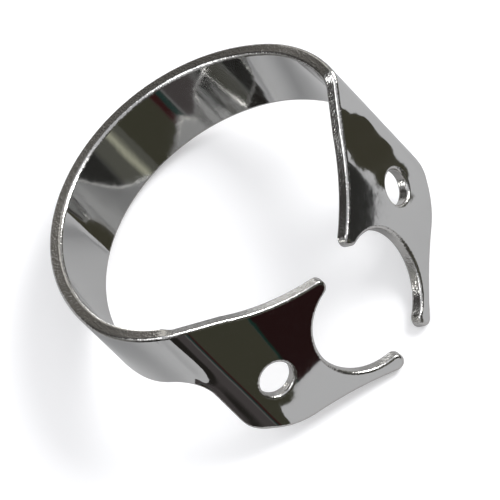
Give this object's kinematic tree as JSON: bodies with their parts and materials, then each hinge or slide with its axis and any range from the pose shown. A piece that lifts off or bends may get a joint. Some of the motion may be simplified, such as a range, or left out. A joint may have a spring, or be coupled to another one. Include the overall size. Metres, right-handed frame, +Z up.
{
  "type": "rubber dam clamp",
  "caption": "Wingless molar rubber dam clamp of polished spring steel: a springy bow that joins two sloping jaws, each with a forceps hole and a round notch between two prongs.",
  "frame": {"origin": "on the plane that the clamp lies on, below the middle of its bounding box", "axes": "+X from one jaw to the other, +Y from the jaws towards the bow, +Z up as the clamp lies at rest on its bow's rim and its jaws"},
  "size_m": [0.023, 0.0248, 0.0103],
  "materials": {
    "spring_steel": "mirror-polished stainless spring steel"
  },
  "bodies": {
    "root": {"dam_clamp": "spring_steel"}
  },
  "joints": []
}
